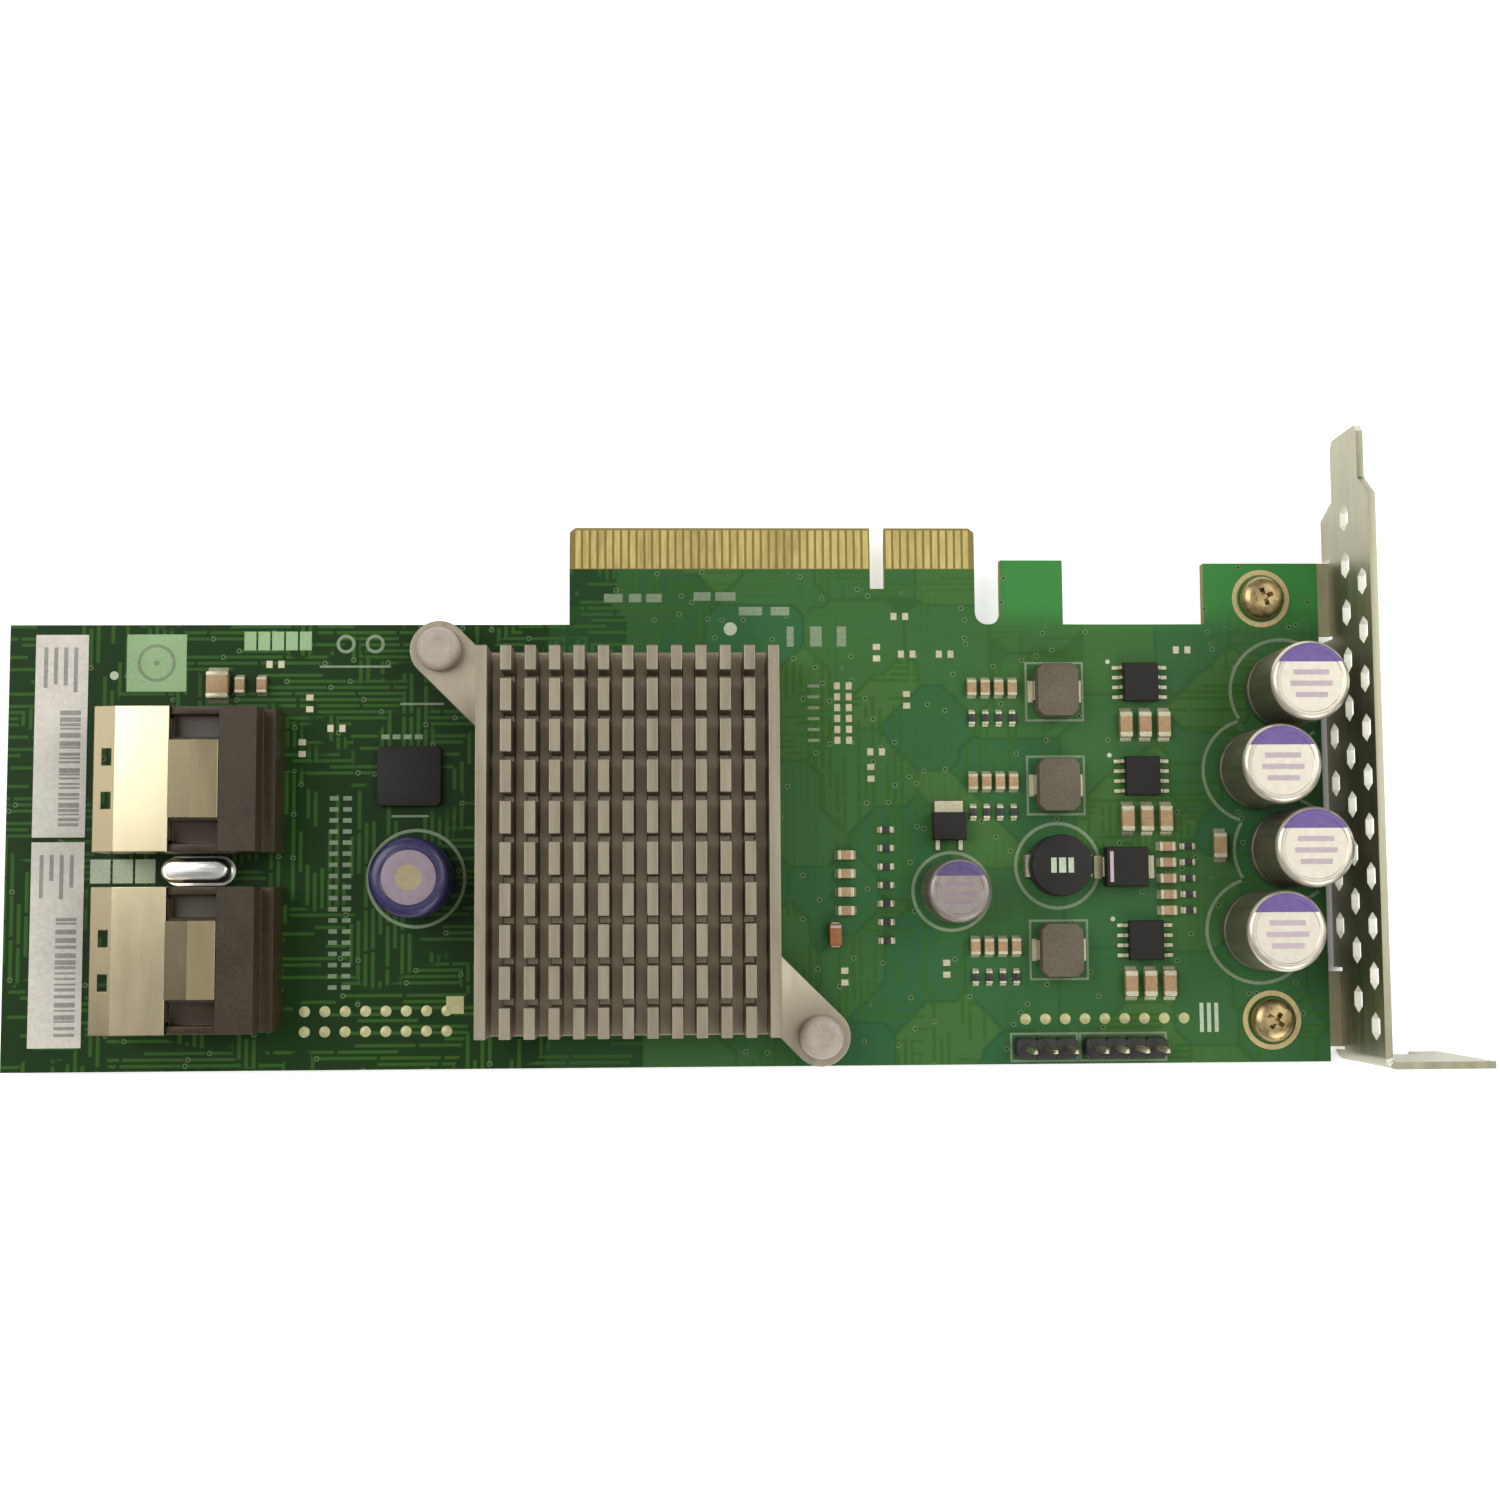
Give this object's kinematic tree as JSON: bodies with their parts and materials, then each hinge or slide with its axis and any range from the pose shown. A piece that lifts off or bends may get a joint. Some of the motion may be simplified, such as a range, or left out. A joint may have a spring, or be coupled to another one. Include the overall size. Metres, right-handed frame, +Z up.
{
  "type": "host bus adapter",
  "caption": "Low-profile plug-in card with internal cable ports, a cross-cut heat sink on push pins, a power section with tall cans and a perforated mounting bracket.",
  "frame": {"origin": "centre of the overall box in X and Y, at the height of the bracket's lower side edge and the push pins' tips", "axes": "+X along the board towards the bracket, +Y across it towards the edge contacts, +Z up out of the component side"},
  "size_m": [0.1832, 0.08, 0.0184],
  "materials": {
    "board_green": "green solder mask",
    "contact_gold": "gold plating",
    "package_black": "moulded package",
    "pad_grey": "soft pad",
    "sink_aluminium": "clear anodised",
    "pin_plastic": "moulded nylon",
    "shell_metal": "plated sheet",
    "housing_plastic": "moulded",
    "crystal_metal": "plated can",
    "bracket_steel": "bright zinc plating",
    "screw_steel": "zinc plating",
    "can_aluminium": "drawn can with a printed segment",
    "sleeve_violet": "shrink sleeve",
    "inductor_grey": "moulded powder core",
    "choke_black": "ferrite",
    "header_black": "moulded",
    "pin_metal": "plated pins",
    "tantalum_brown": "moulded",
    "chip_tan": "fired ceramic",
    "chip_black": "glazed",
    "label_paper": "matt label"
  },
  "bodies": {
    "root": {"bracket": "bracket_steel", "bracket_screws": "screw_steel", "capacitor_1": "can_aluminium", "capacitor_2": "can_aluminium", "capacitor_3": "can_aluminium", "capacitor_4": "can_aluminium", "capacitor_small": "can_aluminium", "chip_capacitors": "chip_tan", "chip_resistors": "chip_black", "choke": "choke_black", "controller_chip": "package_black", "crystal": "crystal_metal", "edge_contacts_back": "contact_gold", "edge_contacts_front": "contact_gold", "header_four": "header_black", "header_pins": "pin_metal", "header_three": "header_black", "heat_sink": "sink_aluminium", "inductor_1": "inductor_grey", "inductor_2": "inductor_grey", "inductor_3": "inductor_grey", "label_lower": "label_paper", "label_upper": "label_paper", "memory_chip": "package_black", "pcb": "board_green", "port_a_housing": "housing_plastic", "port_a_shell": "shell_metal", "port_b_housing": "housing_plastic", "port_b_shell": "shell_metal", "power_switch_1": "package_black", "power_switch_2": "package_black", "power_switch_3": "package_black", "push_pin_a": "pin_plastic", "push_pin_b": "pin_plastic", "rectifier": "package_black", "regulator": "package_black", "sleeved_capacitor": "sleeve_violet", "tantalum": "tantalum_brown", "thermal_pad": "pad_grey"}
  },
  "joints": []
}
